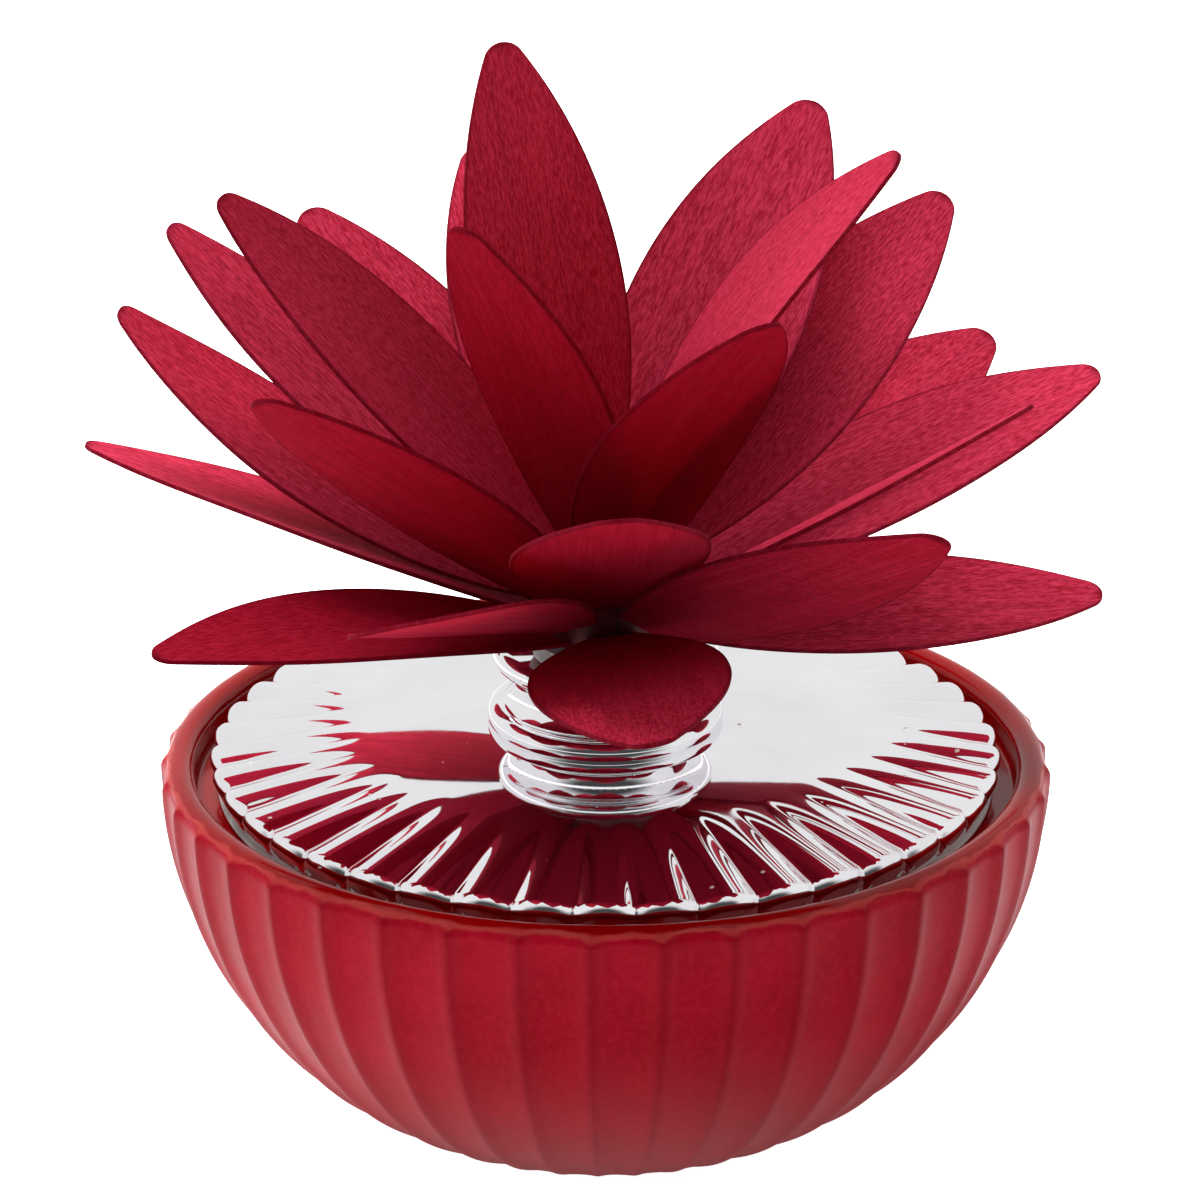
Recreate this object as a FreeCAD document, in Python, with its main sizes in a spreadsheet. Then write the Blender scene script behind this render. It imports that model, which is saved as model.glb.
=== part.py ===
import FreeCAD, Part
import math
import os

import Sketcher
from FreeCAD import Vector

# Flower fragrance diffuser: a fluted ceramic oil bowl, a silvered lid with a moulded neck,
# and a flower of wood-veneer petals on a cotton wick that reaches down into the oil.
# Millimetres and degrees. +Z is up, the origin is the middle of the foot where it rests,
# and -Y is the front.

DIMENSIONS = {
    # bowl: its outer and inner walls are arcs about one centre, a little off the bowl's axis
    "wall_centre_radius": 4.5,
    "wall_centre_height": 49.0,
    "wall_outer_arc": 50.5,
    "wall_inner_arc": 45.0,
    "rim_height": 50.0,
    "rim_radius": 55.0,
    "lip_round": 1.85,
    "ledge_height": 45.5,
    "ledge_radius": 46.5,
    "ledge_depth": 2.5,
    "ledge_slope_height": 3.0,
    # flutes: V-shaped valleys, alike in number and flank on the bowl and the lid
    "flute_count": 42,
    "flute_flank": 30.0,
    "bowl_flute_bearing": -91.7,
    "lid_flute_bearing": -94.4,
    "flute_blade_height": 0.9,
    "bowl_flute_centre_radius": 2.5,
    "bowl_flute_centre_height": 50.0,
    "bowl_flute_arc": 52.0,
    "bowl_flute_sweep": 72.0,
    "lid_flute_outer_radius": 51.0,
    "lid_flute_outer_height": 49.55,
    "lid_flute_slope": 8.6,
    "lid_flute_length": 24.0,
    "lid_notch_depth": 0.8,
    # gasket on the bowl's ledge
    "gasket_inner_radius": 46.8,
    "gasket_outer_radius": 48.4,
    "gasket_thickness": 1.0,
    # lid: a shallow dome of even thickness, with a skirt that centres it in the bowl
    "lid_radius": 49.3,
    "lid_edge_round": 1.2,
    "lid_edge_bottom_height": 49.3,
    "lid_seat_radius": 48.0,
    "crown_height": 53.9,
    "crown_arc": 375.0,
    "lid_thickness": 3.5,
    "skirt_outer_radius": 46.0,
    "skirt_inner_radius": 43.0,
    "skirt_bottom_height": 41.5,
    # neck moulded on the lid: a round ring at its foot, a waist and a round ring at its top
    "neck_bore_radius": 7.0,
    "foot_ring_outer_radius": 14.5,
    "foot_ring_inner_radius": 12.6,
    "foot_ring_top_height": 55.8,
    "foot_ring_round": 1.5,
    "waist_round": 3.0,
    "top_ring_lower_radius": 12.8,
    "top_ring_upper_radius": 13.2,
    "top_ring_bottom_height": 60.9,
    "top_ring_round": 1.35,
    "neck_top_height": 63.5,
    # stopper in the neck
    "plug_radius": 6.95,
    "plug_length": 12.0,
    "stopper_flange_radius": 9.0,
    "stopper_flange_thickness": 1.0,
    "wick_hole_radius": 2.05,
    # wick, its core wire and the hub that holds the petals
    "wick_radius": 2.0,
    "wick_bottom_height": 7.0,
    "wick_top_height": 71.0,
    "wire_radius": 0.5,
    "wire_hole_radius": 0.55,
    "wire_bottom_height": 9.0,
    "wire_top_height": 80.0,
    "hub_radius": 9.5,
    "hub_top_radius": 4.5,
    "hub_bottom_height": 65.2,
    "hub_shoulder_height": 70.5,
    "hub_top_height": 78.5,
    "hub_edge_round": 2.0,
    # petals: strips of veneer, cupped across and bent along, cut to one outline
    "veneer_thickness": 0.5,
    "cup_radius": 83.0,
    "blank_half_width": 12.5,
    "blank_overlength": 1.04,
    "root_trim": 0.3,
    "tip_share": 0.24,
    "tip_roundness": 1.1,
}

# One row per petal, from the lowest up: the bearing it points to from +X, its elevation, its roll
# about its own length, its lengthwise bend (positive curls up), its width and length, the height
# of its root above the rim and how far from the axis the root starts.
PETAL_COLUMNS = ("bearing", "elevation", "roll", "bend", "width", "length", "rise", "reach")
PETALS = (
    (-145, 18, -6, -17, 20, 60, 15.5, 3.5),
    (-55, 25, -32, 5, 19, 64, 16, 5),
    (132, 10, 0, -2, 20, 62, 16, 6),
    (82, 14, 0, -2, 20, 62, 16.5, 5.5),
    (8, -1, 19, 2, 19, 60, 17, 3),
    (178, 22, 7, -3, 22, 62, 17, 5.5),
    (-86, 12, 7, -2, 23, 64, 17.5, 8.5),
    (-113, 22, 20, -6, 19, 64, 18.5, 8.5),
    (98, 27, 0, -2, 20, 62, 18.5, 5),
    (-33, 31, 1, 6, 19, 63, 19, 5),
    (-138, 41, 21, -6, 19, 61, 19, 5),
    (37, 22, 31, -3, 21, 62, 19.5, 5.5),
    (15, 26, 18, -9, 20, 62, 20, 7),
    (-89, 32, 4, -5, 23, 64, 20, 6),
    (170, 21, -8, 24, 20, 63, 20, 7.5),
    (136, 38, -23, -2, 20, 62, 21, 4.5),
    (67, 35, -1, -2, 20, 62, 21, 4),
    (-70, 57, 10, -20, 23, 63, 21.5, 3.5),
    (168, 36, -9, 9, 21, 64, 22.5, 5.5),
    (110, 42, -2, -2, 20, 62, 23.5, 3),
    (-114, 64, -10, -14, 19, 62, 23.5, 2.5),
    (31, 41, 32, -2, 21, 62, 23.5, 3),
    (177, 50, -20, -7, 21, 61, 25, 4.5),
    (50, 53, 22, -8, 23, 63, 26, 2),
    (153, 80, -39, -4, 20, 61, 27.5, 2.5),
    (-35, 66, 37, -25, 23, 63, 27.5, 1),
)

doc = FreeCAD.newDocument("flower_diffuser")
sheet = doc.addObject("Spreadsheet::Sheet", "dims")


def fill_sheet():
    """Write every driving dimension and petal value beside its name, and name its cell."""
    values = dict(DIMENSIONS)
    for number, row in enumerate(PETALS, start=1):
        for column, value in zip(PETAL_COLUMNS, row):
            values[f"petal_{number:02d}_{column}"] = value
    for line, (name, value) in enumerate(values.items(), start=1):
        sheet.set(f"A{line}", name)
        sheet.set(f"B{line}", str(value))
        sheet.setAlias(f"B{line}", name)
    doc.recompute()


def size(expression):
    """Number that an expression over the sheet gives."""
    return float(sheet.evalExpression(expression))


def new_body(name):
    body = doc.addObject("PartDesign::Body", name)
    body.Label = name
    return body


def origin_feature(body, role):
    return next(item for item in body.Origin.OriginFeatures if item.Role == role)


def new_sketch(body, name, plane, shift=("0", "0", "0")):
    """Sketch on one of the body's own origin planes, shifted in the sketch's own axes."""
    sketch = body.newObject("Sketcher::SketchObject", name)
    sketch.AttachmentSupport = [(origin_feature(body, plane), "")]
    sketch.MapMode = "FlatFace"
    for axis, expression in zip("xyz", shift):
        if expression != "0":
            sketch.setExpression(f"AttachmentOffset.Base.{axis}", expression)
    return sketch


def arc_between(start, end, radius, turn):
    """Arc of less than half a circle from start to end; turn 1 is anticlockwise, -1 clockwise."""
    chord = end - start
    sideways = Vector(-chord.y, chord.x, 0).normalize()
    setback = math.sqrt(radius**2 - (chord.Length / 2) ** 2)
    centre = (start + end) / 2 + sideways * setback * turn
    first, last = (start, end) if turn > 0 else (end, start)
    angles = [math.atan2(point.y - centre.y, point.x - centre.x) for point in (first, last)]
    circle = Part.Circle(centre, Vector(0, 0, 1), radius)
    return Part.ArcOfCircle(circle, angles[0], angles[1])


def bind(sketch, constraint, name, expression):
    index = sketch.addConstraint(constraint)
    sketch.renameConstraint(index, name)
    sketch.setExpression(f"Constraints.{name}", expression)


def place_corner(sketch, edge, end, axis, name, expression):
    """Hold one coordinate of an edge's end at its expression, or on the axis where it is 0."""
    if expression == "0":
        crossing_axis = {"X": -2, "Y": -1}[axis]
        sketch.addConstraint(Sketcher.Constraint("PointOnObject", edge, end, crossing_axis))
    else:
        constraint = Sketcher.Constraint(f"Distance{axis}", -1, 1, edge, end, size(expression))
        bind(sketch, constraint, name, expression)


def draw_loop(sketch, corners, label="outer"):
    """Closed loop of lines and arcs.

    Each corner is (x, y) or (x, y, radius, turn); the last two make an arc of the edge that
    leaves the corner. Coordinates and radii are expressions over the sheet.
    """
    points = [Vector(size(corner[0]), size(corner[1]), 0) for corner in corners]
    edges = []
    for index, corner in enumerate(corners):
        start = points[index]
        end = points[(index + 1) % len(points)]
        if len(corner) == 2:
            edge = sketch.addGeometry(Part.LineSegment(start, end))
            edges.append((edge, 1, 2))
        else:
            turn = corner[3]
            edge = sketch.addGeometry(arc_between(start, end, size(corner[2]), turn))
            edges.append((edge, 1, 2) if turn > 0 else (edge, 2, 1))
    for index, (edge, first, last) in enumerate(edges):
        following, following_first, _ = edges[(index + 1) % len(edges)]
        joint = Sketcher.Constraint("Coincident", edge, last, following, following_first)
        sketch.addConstraint(joint)
    for index, corner in enumerate(corners):
        edge, first, _ = edges[index]
        place_corner(sketch, edge, first, "X", f"{label}_{index}_x", corner[0])
        place_corner(sketch, edge, first, "Y", f"{label}_{index}_y", corner[1])
        if len(corner) == 4:
            radius = Sketcher.Constraint("Radius", edge, size(corner[2]))
            bind(sketch, radius, f"{label}_{index}_radius", corner[2])


def turned_body(name, corners):
    """Body turned about +Z from a half-section given as (radius, height) corners."""
    body = new_body(name)
    section = new_sketch(body, f"{name}_section", "XZ_Plane")
    draw_loop(section, corners)
    turned = body.newObject("PartDesign::Revolution", f"{name}_turned")
    turned.Profile = section
    turned.ReferenceAxis = (section, ["V_Axis"])
    turned.Angle = 360
    return body


def ring_corners(inner, outer, bottom, top):
    return [(inner, bottom), (outer, bottom), (outer, top), (inner, top)]


def flute_blade(sketch, apex):
    """Triangle that points at the axis from the right, its tip at the given distance."""
    half_width = "dims.flute_blade_height / tan(dims.flute_flank)"
    base = f"{apex} + dims.flute_blade_height"
    draw_loop(sketch, [(apex, "0"), (base, f"-{half_width}"), (base, half_width)])


def repeat_round(body, features):
    """Repeat the features round +Z, and turn the body so that one lands on its flute bearing."""
    pattern = body.newObject("PartDesign::PolarPattern", f"{body.Name}_flutes")
    pattern.Originals = features
    pattern.Axis = (origin_feature(body, "Z_Axis"), [""])
    pattern.Angle = 360
    pattern.setExpression("Occurrences", "dims.flute_count")
    body.Tip = pattern
    bearing = f"dims.{body.Name}_flute_bearing"
    body.setExpression("Placement", f"placement(vector(0; 0; 0); rotation({bearing}; 0; 0))")


def make_bowl():
    outer_arc = "dims.wall_outer_arc"
    inner_arc = "dims.wall_inner_arc"
    centre_radius = "dims.wall_centre_radius"
    centre_height = "dims.wall_centre_height"
    floor = f"{centre_height} - {inner_arc}"
    lip_base = "dims.rim_height - dims.lip_round"
    lip_outside = f"{centre_radius} + sqrt({outer_arc}^2 - ({centre_height} - {lip_base})^2)"
    slope_end = "dims.ledge_height - dims.ledge_depth - dims.ledge_slope_height"
    slope_radius = f"{centre_radius} + sqrt({inner_arc}^2 - ({centre_height} - ({slope_end}))^2)"
    bowl = turned_body("bowl", [
        ("0", floor),
        ("0", "0"),
        (f"{centre_radius} + sqrt({outer_arc}^2 - {centre_height}^2)", "0", outer_arc, 1),
        (lip_outside, lip_base, "dims.lip_round", 1),
        ("dims.rim_radius - dims.lip_round", "dims.rim_height", "dims.lip_round", 1),
        ("dims.rim_radius - 2 * dims.lip_round", lip_base),
        ("dims.rim_radius - 2 * dims.lip_round", "dims.ledge_height"),
        ("dims.ledge_radius", "dims.ledge_height"),
        ("dims.ledge_radius", "dims.ledge_height - dims.ledge_depth"),
        (slope_radius, slope_end, inner_arc, -1),
        (centre_radius, floor),
    ])
    shift = ("dims.bowl_flute_centre_radius", "0", "dims.bowl_flute_centre_height")
    blade = new_sketch(bowl, "bowl_flute_blade", "XY_Plane", shift)
    flute_blade(blade, "dims.bowl_flute_arc")
    flute = bowl.newObject("PartDesign::Groove", "bowl_flute")
    flute.Profile = blade
    flute.ReferenceAxis = (blade, ["V_Axis"])
    flute.setExpression("Angle", "dims.bowl_flute_sweep")
    repeat_round(bowl, [flute])


def make_gasket():
    top = "dims.ledge_height + dims.gasket_thickness"
    turned_body("lid_gasket", ring_corners(
        "dims.gasket_inner_radius", "dims.gasket_outer_radius", "dims.ledge_height", top))


def dome_height(arc, radius):
    """Height of the lid's upper or lower dome at a radius; both share one centre."""
    return f"dims.crown_height - dims.crown_arc + sqrt(({arc})^2 - ({radius})^2)"


def lid_flute(lid):
    """Straight V-shaped valley that rises inward and runs out on the dome."""
    blade = new_sketch(lid, "lid_flute_blade", "YZ_Plane")
    tilt = "rotation(0; 0; dims.lid_flute_slope)"
    outer_end = "vector(0; dims.lid_flute_outer_height; dims.lid_flute_outer_radius)"
    blade.setExpression("AttachmentOffset", f"placement({outer_end}; {tilt})")
    half_width = "dims.flute_blade_height / tan(dims.flute_flank)"
    top = "dims.flute_blade_height"
    draw_loop(blade, [("0", "0"), (half_width, top), (f"-{half_width}", top)])
    flute = lid.newObject("PartDesign::Pocket", "lid_flute")
    flute.Profile = blade
    flute.setExpression("Length", "dims.lid_flute_length")
    return flute


def make_lid():
    crown = "dims.crown_arc"
    under = "dims.crown_arc - dims.lid_thickness"
    seat = "dims.ledge_height + dims.gasket_thickness"
    edge_start = "dims.lid_radius - dims.lid_edge_round"
    edge_side = f"{dome_height(crown, edge_start)} - dims.lid_edge_round"
    lid = turned_body("lid", [
        ("dims.neck_bore_radius", dome_height(under, "dims.neck_bore_radius"), under, -1),
        ("dims.skirt_inner_radius", dome_height(under, "dims.skirt_inner_radius")),
        ("dims.skirt_inner_radius", "dims.skirt_bottom_height"),
        ("dims.skirt_outer_radius", "dims.skirt_bottom_height"),
        ("dims.skirt_outer_radius", seat),
        ("dims.lid_seat_radius", seat),
        ("dims.lid_radius", "dims.lid_edge_bottom_height"),
        ("dims.lid_radius", edge_side, "dims.lid_edge_round", 1),
        (edge_start, dome_height(crown, edge_start), crown, 1),
        ("dims.foot_ring_outer_radius", dome_height(crown, "dims.foot_ring_outer_radius"),
         "dims.foot_ring_round", 1),
        ("dims.foot_ring_inner_radius", "dims.foot_ring_top_height", "dims.waist_round", -1),
        ("dims.top_ring_lower_radius", "dims.top_ring_bottom_height", "dims.top_ring_round", 1),
        ("dims.top_ring_upper_radius", "dims.neck_top_height"),
        ("dims.neck_bore_radius", "dims.neck_top_height"),
    ])
    notch_outline = new_sketch(lid, "lid_notch_outline", "XY_Plane")
    flute_blade(notch_outline, "dims.lid_radius - dims.lid_notch_depth")
    notch = lid.newObject("PartDesign::Pocket", "lid_notch")
    notch.Profile = notch_outline
    notch.Type = "ThroughAll"
    notch.SideType = "Symmetric"
    repeat_round(lid, [lid_flute(lid), notch])


def make_stopper():
    plug_bottom = "dims.neck_top_height - dims.plug_length"
    flange_top = "dims.neck_top_height + dims.stopper_flange_thickness"
    turned_body("stopper", [
        ("dims.wick_hole_radius", plug_bottom),
        ("dims.plug_radius", plug_bottom),
        ("dims.plug_radius", "dims.neck_top_height"),
        ("dims.stopper_flange_radius", "dims.neck_top_height"),
        ("dims.stopper_flange_radius", flange_top),
        ("dims.wick_hole_radius", flange_top),
    ])


def make_wick():
    turned_body("wick", ring_corners(
        "dims.wire_hole_radius", "dims.wick_radius",
        "dims.wick_bottom_height", "dims.wick_top_height"))


def make_core_wire():
    turned_body("core_wire", ring_corners(
        "0", "dims.wire_radius", "dims.wire_bottom_height", "dims.wire_top_height"))


def make_hub():
    round_end = "dims.hub_bottom_height + dims.hub_edge_round"
    turned_body("petal_hub", [
        ("dims.wick_hole_radius", "dims.hub_bottom_height"),
        ("dims.hub_radius - dims.hub_edge_round", "dims.hub_bottom_height",
         "dims.hub_edge_round", 1),
        ("dims.hub_radius", round_end),
        ("dims.hub_radius", "dims.hub_shoulder_height"),
        ("dims.hub_top_radius", "dims.hub_top_height"),
        ("dims.wire_hole_radius", "dims.hub_top_height"),
        ("dims.wire_hole_radius", "dims.wick_top_height"),
        ("dims.wick_hole_radius", "dims.wick_top_height"),
    ])


def veneer_blank(body, bend, length):
    """Cupped strip running along +X from the root, bent about an axis across the petal."""
    bend_radius = f"({length} * 180 / (pi * {bend}))"
    section = new_sketch(body, f"{body.Name}_section", "YZ_Plane", ("0", bend_radius, "0"))
    half_width = "dims.blank_half_width"
    upper = "dims.cup_radius - dims.veneer_thickness / 2"
    lower = "dims.cup_radius + dims.veneer_thickness / 2"
    upper_edge = f"dims.cup_radius - sqrt(({upper})^2 - {half_width}^2) - {bend_radius}"
    lower_edge = f"dims.cup_radius - sqrt(({lower})^2 - {half_width}^2) - {bend_radius}"
    draw_loop(section, [
        (f"-{half_width}", lower_edge, lower, 1),
        (half_width, lower_edge),
        (half_width, upper_edge, upper, -1),
        (f"-{half_width}", upper_edge),
    ])
    blank = body.newObject("PartDesign::Revolution", f"{body.Name}_blank")
    blank.Profile = section
    blank.ReferenceAxis = (section, ["H_Axis"])
    blank.setExpression("Angle", f"abs({bend}) * dims.blank_overlength")
    blank.Reversed = size(bend) > 0


def petal_outline(body, bend, width, length):
    """Cut the blank to the petal's outline: two long arcs, a round tip and a straight root."""
    sketch = new_sketch(body, f"{body.Name}_outline", "XY_Plane")
    tip = f"({width} / 2 * dims.tip_share)"
    tip_radius = f"{tip} * dims.tip_roundness"
    tip_sagitta = f"{tip} * (dims.tip_roundness - sqrt(dims.tip_roundness^2 - 1))"
    tip_start = f"({length} * 180 / (pi * {bend}) * sin({bend}) - {tip_sagitta})"
    swell = f"({width} / 2 - {tip})"
    side_radius = f"((({tip_start} - dims.root_trim) / 2)^2 + {swell}^2) / (2 * {swell})"
    draw_loop(sketch, [
        ("dims.root_trim", f"-{tip}", side_radius, 1),
        (tip_start, f"-{tip}", tip_radius, 1),
        (tip_start, tip, side_radius, 1),
        ("dims.root_trim", tip),
    ], "petal")
    far = f"{length} * dims.blank_overlength * 1.1"
    margin = "dims.blank_half_width * 1.2"
    near = "-dims.blank_half_width"
    draw_loop(sketch, [(near, f"-{margin}"), (far, f"-{margin}"), (far, margin), (near, margin)])
    cut = body.newObject("PartDesign::Pocket", f"{body.Name}_cut")
    cut.Profile = sketch
    cut.Type = "ThroughAll"
    cut.SideType = "Symmetric"


def make_petal(name):
    cell = {column: f"dims.{name}_{column}" for column in PETAL_COLUMNS}
    body = new_body(name)
    veneer_blank(body, cell["bend"], cell["length"])
    petal_outline(body, cell["bend"], cell["width"], cell["length"])
    root = (f"vector({cell['reach']} * cos({cell['bearing']}); "
            f"{cell['reach']} * sin({cell['bearing']}); dims.rim_height + {cell['rise']})")
    attitude = f"rotation({cell['bearing']}; -{cell['elevation']}; {cell['roll']})"
    body.setExpression("Placement", f"placement({root}; {attitude})")


def check_and_export():
    """Stop on any failed object or bad shape, then write each body to its own file."""
    for item in doc.Objects:
        if "Invalid" in item.State or "Error" in item.State:
            raise RuntimeError(f"{item.Name} failed: {item.State}")
    bodies = [item for item in doc.Objects if item.TypeId == "PartDesign::Body"]
    for body in bodies:
        if body.Shape.isNull() or not body.Shape.isValid() or len(body.Shape.Solids) != 1:
            raise RuntimeError(f"{body.Label} is not one valid solid")
    for body in bodies:
        before_flutes = doc.getObject(f"{body.Name}_turned")
        if doc.getObject(f"{body.Name}_flutes") and body.Shape.Volume >= before_flutes.Shape.Volume:
            raise RuntimeError(f"the flutes of {body.Label} cut nothing")
    os.makedirs("parts", exist_ok=True)
    for body in bodies:
        body.Shape.exportStep(f"parts/{body.Label}.step")
        print(f"{body.Label:12s} {body.Shape.Volume / 1000:9.3f} cm3")


fill_sheet()
make_bowl()
make_gasket()
make_lid()
make_stopper()
make_wick()
make_core_wire()
make_hub()
for petal_number in range(1, len(PETALS) + 1):
    make_petal(f"petal_{petal_number:02d}")
doc.recompute()
check_and_export()
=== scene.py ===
import math

import bpy
import numpy as np
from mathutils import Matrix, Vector


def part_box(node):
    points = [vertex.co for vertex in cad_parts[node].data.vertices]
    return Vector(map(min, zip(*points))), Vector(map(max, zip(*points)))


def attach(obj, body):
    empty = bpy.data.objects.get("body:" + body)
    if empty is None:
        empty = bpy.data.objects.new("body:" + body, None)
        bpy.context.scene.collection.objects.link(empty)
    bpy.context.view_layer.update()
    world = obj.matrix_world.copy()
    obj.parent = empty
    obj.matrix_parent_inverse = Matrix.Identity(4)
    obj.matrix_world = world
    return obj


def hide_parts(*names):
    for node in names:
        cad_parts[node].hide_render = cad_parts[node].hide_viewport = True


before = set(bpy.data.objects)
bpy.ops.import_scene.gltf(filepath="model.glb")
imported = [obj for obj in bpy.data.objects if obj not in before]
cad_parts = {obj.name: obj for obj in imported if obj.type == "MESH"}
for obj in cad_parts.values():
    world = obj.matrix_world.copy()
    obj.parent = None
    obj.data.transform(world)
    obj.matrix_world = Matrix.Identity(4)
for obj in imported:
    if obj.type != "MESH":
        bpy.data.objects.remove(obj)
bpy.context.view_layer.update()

# Looks of the flower fragrance diffuser: fluted glazed bowl, silvered lid, dyed veneer petals.
# Metres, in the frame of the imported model. -Y is the front.

MM = 0.001

# sizes read from the frame
RIM_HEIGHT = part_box("bowl")[1].z
lid_low, lid_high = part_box("lid")
gasket_low, gasket_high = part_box("lid_gasket")
wick_low, wick_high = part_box("wick")
NECK_TOP = lid_high.z
SEAT_HEIGHT = gasket_high.z
LEDGE_HEIGHT = gasket_low.z

# flutes, alike in number on the bowl and the lid
FLUTES = 42
BOWL_FLUTE_BEARING = math.radians(-91.7)
LID_FLUTE_BEARING = math.radians(-94.4)
FLUTE_PITCH = 2 * math.pi / FLUTES
COLUMNS_PER_FLUTE = 22
VALLEY_CROWDING = 0.45

# bowl
RIM_RADIUS = 55 * MM
WALL_CENTRE_RADIUS = 4.5 * MM
WALL_CENTRE_HEIGHT = RIM_HEIGHT - 1 * MM
OUTER_ARC = RIM_RADIUS - WALL_CENTRE_RADIUS
INNER_ARC = OUTER_ARC - 5.5 * MM
LIP_ROUND = 1.85 * MM
LEDGE_RADIUS = 46.5 * MM
LEDGE_DEPTH = 2.5 * MM
LEDGE_ROUND = 0.6 * MM
LIP_EDGE_ANGLE = 48
BOWL_VALLEY_DEPTH = 0.55 * MM
LOBE_SWELL = 0.12 * MM

# lid
LID_RADIUS = 49.3 * MM
CROWN_HEIGHT = RIM_HEIGHT + 3.9 * MM
CROWN_ARC = 375 * MM
LID_THICKNESS = 3.5 * MM
EDGE_ROUND = 1.2 * MM
EDGE_BOTTOM_HEIGHT = RIM_HEIGHT - 0.7 * MM
SEAT_RADIUS = 48 * MM
LOBE_START = 0.6
LID_VALLEY_DEPTH = 0.84 * MM
LID_NOTCH_DEPTH = 0.9 * MM
SKIRT_INSIDE = 43 * MM
SKIRT_OUTSIDE = 46 * MM
NECK_BORE = 7 * MM
NECK_FOOT_RADIUS = 14.5 * MM
WAIST_FOOT = (12.6 * MM, 55.8 * MM)
WAIST_TOP = (12.8 * MM, 60.9 * MM)
NECK_TOP_RADIUS = 13.2 * MM
FOOT_RING_BULGE = 1.5 * MM
WAIST_HOLLOW = 3 * MM
TOP_RING_BULGE = 1.35 * MM


# ---------------------------------------------------------------- mesh helpers

def new_object(name, vertices, faces):
    mesh = bpy.data.meshes.new(name)
    mesh.from_pydata([tuple(point) for point in vertices], [], faces)
    mesh.validate()
    mesh.polygons.foreach_set("use_smooth", [True] * len(mesh.polygons))
    mesh.update()
    piece = bpy.data.objects.new(name, mesh)
    bpy.context.scene.collection.objects.link(piece)
    return piece


def add_attribute(piece, name, values):
    """One number per vertex, for the material to read."""
    attribute = piece.data.attributes.new(name, "FLOAT", "POINT")
    attribute.data.foreach_set("value", np.asarray(values, dtype=np.float32).ravel())


def grid_faces(rows, columns, wrap_rows, wrap_columns):
    """Quads of a grid whose vertex (row, column) has the index row * columns + column."""
    faces = []
    for row in range(rows if wrap_rows else rows - 1):
        below = row * columns
        above = ((row + 1) % rows) * columns
        for column in range(columns if wrap_columns else columns - 1):
            following = (column + 1) % columns
            faces.append((below + column, below + following, above + following, above + column))
    return faces


def even_angles(columns):
    return np.arange(columns) * 2 * math.pi / columns


def fluted_columns(bearing):
    """Angle of each column, closer together near the valleys, and its phase in its flute.

    The phase is 0 in the middle of a flute and 1 in the valley on either side of it.
    """
    share = np.arange(COLUMNS_PER_FLUTE) * 2 / COLUMNS_PER_FLUTE - 1
    place = VALLEY_CROWDING * np.sin(share * math.pi / 2) + (1 - VALLEY_CROWDING) * share
    within = np.tile((place + 1) / 2 * FLUTE_PITCH, FLUTES)
    start = np.repeat(np.arange(FLUTES) * FLUTE_PITCH, COLUMNS_PER_FLUTE)
    return bearing + start + within, np.abs(np.tile(place, FLUTES))


def valley_shape(phase, power, bottom_share):
    """0 in the middle of a flute, 1 in the valley; the bottom of the valley is rounded."""
    start = 1 - bottom_share
    slope = power * start ** (power - 1)
    past = np.maximum(phase - start, 0)
    level = np.minimum(phase, start) ** power + slope * (past - past**2 / (2 * bottom_share))
    return level / (start**power + slope * bottom_share / 2)


def wobble(angles, seed, waves):
    """Random smooth function of the angle, between about -1 and 1, that closes on itself."""
    rng = np.random.default_rng(seed)
    total = np.zeros_like(angles)
    for wave in waves:
        total += rng.uniform(0.4, 1) * np.sin(wave * angles + rng.uniform(0, 2 * math.pi))
    return total / len(waves)


def turned_piece(name, radii, heights, angles):
    """Closed ring of arrays (row, column) turned about +Z; a row on the axis becomes one pole."""
    rows, columns = radii.shape
    points = np.stack([radii * np.cos(angles), radii * np.sin(angles), heights], axis=2)
    starts_on_axis = radii[0, 0] == 0
    if not starts_on_axis:
        faces = grid_faces(rows, columns, True, True)
        return new_object(name, points.reshape(-1, 3), faces)
    inner = points[1:-1].reshape(-1, 3)
    first_pole = len(inner)
    last_pole = first_pole + 1
    last_ring = (rows - 3) * columns
    faces = grid_faces(rows - 2, columns, False, True)
    for column in range(columns):
        following = (column + 1) % columns
        faces.append((first_pole, following, column))
        faces.append((last_pole, last_ring + column, last_ring + following))
    return new_object(name, np.vstack([inner, points[0, :1], points[-1, :1]]), faces)


def arc(centre, radius, start, end, count):
    """Points of an arc in (radius, height), angles in degrees from the outward direction."""
    angles = np.radians(np.linspace(start, end, count))
    return np.stack([centre[0] + radius * np.cos(angles), centre[1] + radius * np.sin(angles)], 1)


def line(start, end, count):
    share = np.linspace(0, 1, count)[:, None]
    return np.asarray(start) * (1 - share) + np.asarray(end) * share


def join(*stretches):
    """One outline from stretches that meet end to start, each shared point kept once."""
    points = [stretches[0]]
    for stretch in stretches[1:]:
        points.append(stretch[1:])
    return np.vstack(points)


def smoothstep(values, low, high):
    share = np.clip((values - low) / (high - low), 0, 1)
    return share * share * (3 - 2 * share)


def outward_normals(profile):
    """Unit normals of a profile of (radius, height) points, to the right of its direction."""
    along = np.gradient(profile, axis=0)
    normals = np.stack([along[:, 1], -along[:, 0]], axis=1)
    return normals / np.linalg.norm(normals, axis=1, keepdims=True)


def set_sharp(piece, degrees):
    piece.data.set_sharp_from_angle(angle=math.radians(degrees))


def dress(piece, material, body, slot, *nodes):
    """Give a piece its material and its body, and let it stand for CAD nodes; the slot is not used.
    """
    piece.data.materials.clear()
    piece.data.materials.append(material)
    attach(piece, body)
    if nodes:
        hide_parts(*nodes)


# ---------------------------------------------------------------- node helpers

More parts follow.
